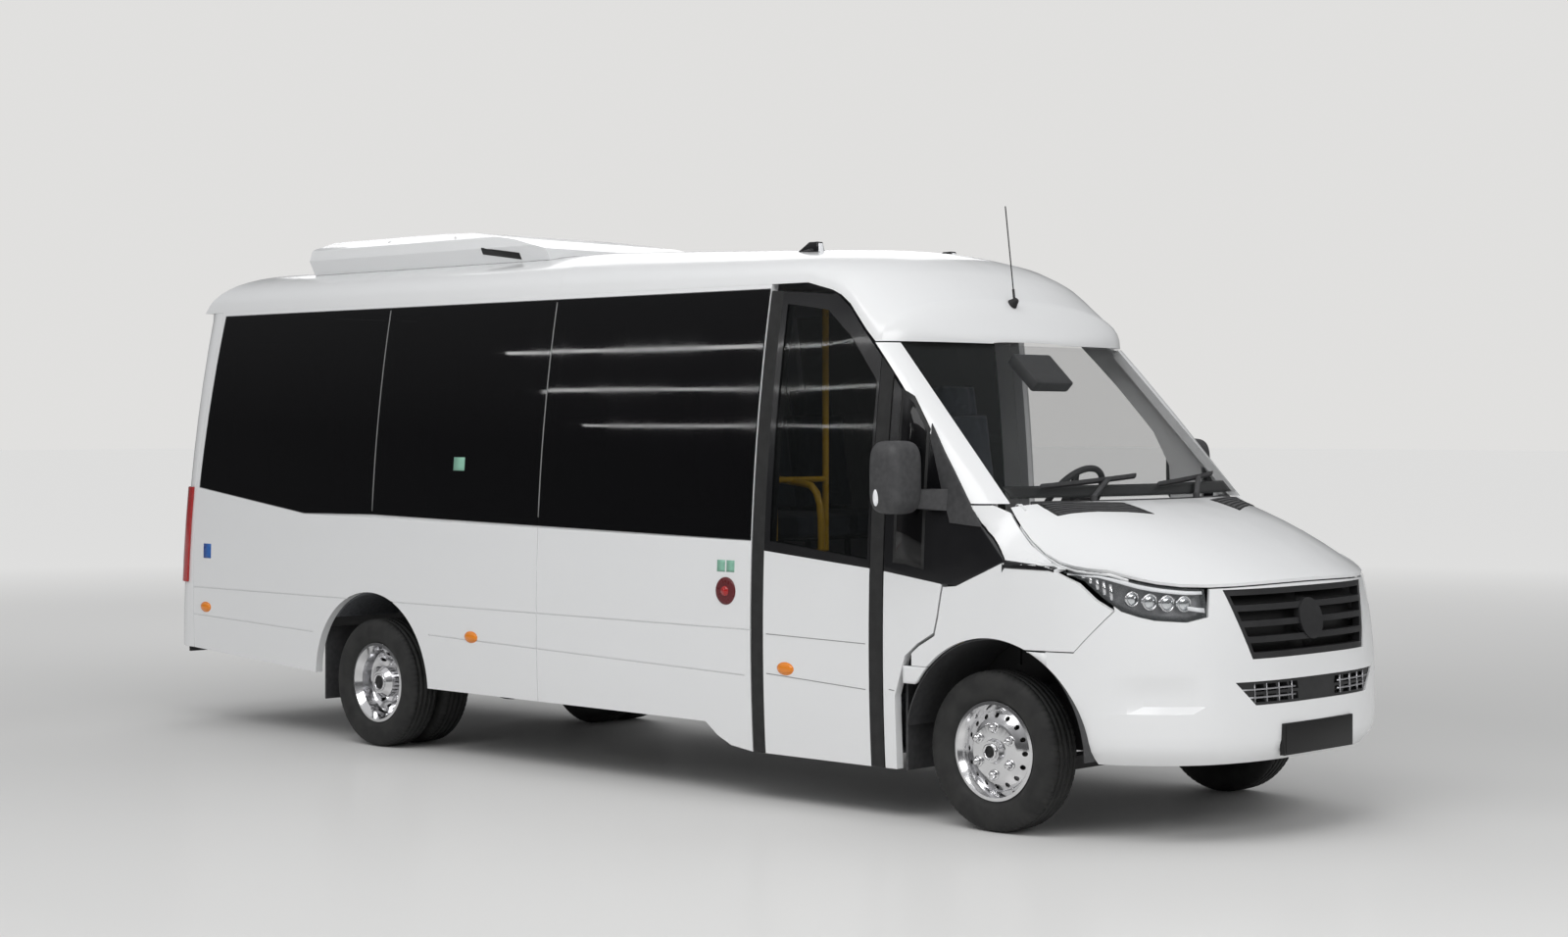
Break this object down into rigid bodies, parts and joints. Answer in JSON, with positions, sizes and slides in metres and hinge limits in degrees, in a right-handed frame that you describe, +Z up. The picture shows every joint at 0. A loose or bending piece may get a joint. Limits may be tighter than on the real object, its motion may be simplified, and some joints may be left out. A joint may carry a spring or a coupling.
{
  "type": "airport shuttle minibus",
  "caption": "Long van-based shuttle minibus with an outward-swinging bus door, twin rear wheels, flush dark side glass, roof air conditioner, and opening doors and bonnet.",
  "frame": {"origin": "on the ground under the middle of the vehicle", "axes": "+X forward, +Y to the left, +Z up"},
  "size_m": [7.367, 2.5114, 2.84],
  "materials": {
    "white_paint": "gloss",
    "dark_glass": "privacy tint",
    "clear_glass": "clear",
    "black_trim": "gloss black",
    "dark_plastic": "textured",
    "black_rubber": "matt",
    "tyre": "matt",
    "wheel_silver": "bright",
    "frame_black": "satin",
    "cast_metal": "rough",
    "engine_grey": "cast",
    "exhaust_steel": "dull",
    "floor_grey": "matt",
    "seat_fabric": "woven",
    "rail_yellow": "gloss",
    "amber_lens": "clear",
    "red_lens": "clear",
    "arm_metal": "brushed"
  },
  "bodies": {
    "body": {"chassis_frame": "frame_black", "floor": "floor_grey", "step_well": "floor_grey", "side_wall_right": "white_paint", "side_wall_left": "white_paint", "roof_rear": "white_paint", "roof_front": "white_paint", "rear_pillars": "white_paint", "cab_side_right": "white_paint", "cab_trim": "black_trim", "a_pillars": "white_paint", "front_wings": "white_paint", "front_bumper": "white_paint", "grille": "dark_plastic", "headlamps": "clear_glass", "windscreen": "clear_glass", "side_windows_right": "dark_glass", "side_windows_left": "dark_glass", "tail_lamps": "red_lens", "marker_lamps": "amber_lens", "mirror_right": "dark_plastic", "front_bulkhead": "frame_black", "arch_liners": "dark_plastic", "dashboard": "dark_plastic", "door_hinges": "frame_black", "seats": "seat_fabric", "handrails": "rail_yellow", "air_conditioner": "white_paint", "antenna": "black_rubber", "wipers": "dark_plastic", "engine": "engine_grey", "exhaust": "exhaust_steel", "fuel_tank": "dark_plastic", "front_axle": "frame_black", "rear_axle": "cast_metal", "rear_bumper": "dark_plastic"},
    "wheel_front_right": {"front_rim_right": "wheel_silver", "front_tyre_right": "tyre"},
    "wheel_front_left": {"front_rim_left": "wheel_silver", "front_tyre_left": "tyre"},
    "wheels_rear_right": {"rear_rims_right": "wheel_silver", "rear_tyres_right": "tyre"},
    "wheels_rear_left": {"rear_rims_left": "wheel_silver", "rear_tyres_left": "tyre"},
    "steer_right": {"knuckle_right": "cast_metal"},
    "steer_left": {"knuckle_left": "cast_metal"},
    "driver_door": {"driver_door": "white_paint", "driver_door_glass": "dark_glass", "mirror_left": "dark_plastic"},
    "bus_door_arms": {"door_arms": "arm_metal"},
    "bus_door_leaf": {"bus_door": "white_paint", "bus_door_glass": "dark_glass", "bus_door_seals": "black_rubber"},
    "rear_door_right": {"rear_door_right": "white_paint", "rear_glass_right": "dark_glass"},
    "rear_door_left": {"rear_door_left": "white_paint", "rear_glass_left": "dark_glass"},
    "bonnet": {"bonnet": "white_paint"},
    "steering_wheel": {"steering_wheel": "dark_plastic"}
  },
  "joints": [
    {"name": "steering", "type": "hinge", "parent": "body", "child": "steer_left", "pos_m": [2.6385, 0.735, 0.3495], "axis": [0, 0, 1], "range_deg": [-36, 36]},
    {"name": "steering_right", "type": "hinge", "parent": "body", "child": "steer_right", "pos_m": [2.6385, -0.735, 0.3495], "axis": [0, 0, 1], "range_deg": [-36, 36]},
    {"name": "steering_wheel_turn", "type": "hinge", "parent": "body", "child": "steering_wheel", "pos_m": [2.0255, 0.43, 1.395], "axis": [-0.8191, 0, 0.5736], "range_deg": [-576, 576]},
    {"name": "front_left_wheel_spin", "type": "hinge", "parent": "steer_left", "child": "wheel_front_left", "pos_m": [2.6385, 0.859, 0.3495], "axis": [0, 1, 0], "continuous": true},
    {"name": "front_right_wheel_spin", "type": "hinge", "parent": "steer_right", "child": "wheel_front_right", "pos_m": [2.6385, -0.859, 0.3495], "axis": [0, 1, 0], "continuous": true},
    {"name": "rear_left_wheels_spin", "type": "hinge", "parent": "body", "child": "wheels_rear_left", "pos_m": [-1.6865, 0.884, 0.3495], "axis": [0, 1, 0], "continuous": true},
    {"name": "rear_right_wheels_spin", "type": "hinge", "parent": "body", "child": "wheels_rear_right", "pos_m": [-1.6865, -0.884, 0.3495], "axis": [0, 1, 0], "continuous": true},
    {"name": "driver_door_swing", "type": "hinge", "parent": "body", "child": "driver_door", "pos_m": [2.3605, 0.996, 1], "axis": [0, 0, -1], "range_deg": [0, 70]},
    {"name": "bus_door_swing", "type": "hinge", "parent": "body", "child": "bus_door_arms", "pos_m": [1.3035, -0.905, 0.7], "axis": [0, 0, -1], "range_deg": [0, 135]},
    {"name": "bus_door_leaf_turn", "type": "hinge", "parent": "bus_door_arms", "child": "bus_door_leaf", "pos_m": [1.6835, -0.905, 0.7], "axis": [0, 0, -1], "range_deg": [-135, 0]},
    {"name": "rear_right_door_swing", "type": "hinge", "parent": "body", "child": "rear_door_right", "pos_m": [-3.5741, -0.8, 1.24477], "axis": [0.0555, 0, 0.9985], "range_deg": [0, 90]},
    {"name": "rear_left_door_swing", "type": "hinge", "parent": "body", "child": "rear_door_left", "pos_m": [-3.5741, 0.8, 1.24477], "axis": [-0.0555, 0, -0.9985], "range_deg": [0, 90]},
    {"name": "bonnet_lift", "type": "hinge", "parent": "body", "child": "bonnet", "pos_m": [2.7045, 0, 1.408], "axis": [0, -1, 0], "range_deg": [0, 45]}
  ],
  "couplings": [
    {"joint": "steering_right", "follows": "steering", "ratio": 1},
    {"joint": "steering_wheel_turn", "follows": "steering", "ratio": 16},
    {"joint": "bus_door_leaf_turn", "follows": "bus_door_swing", "ratio": -1}
  ]
}
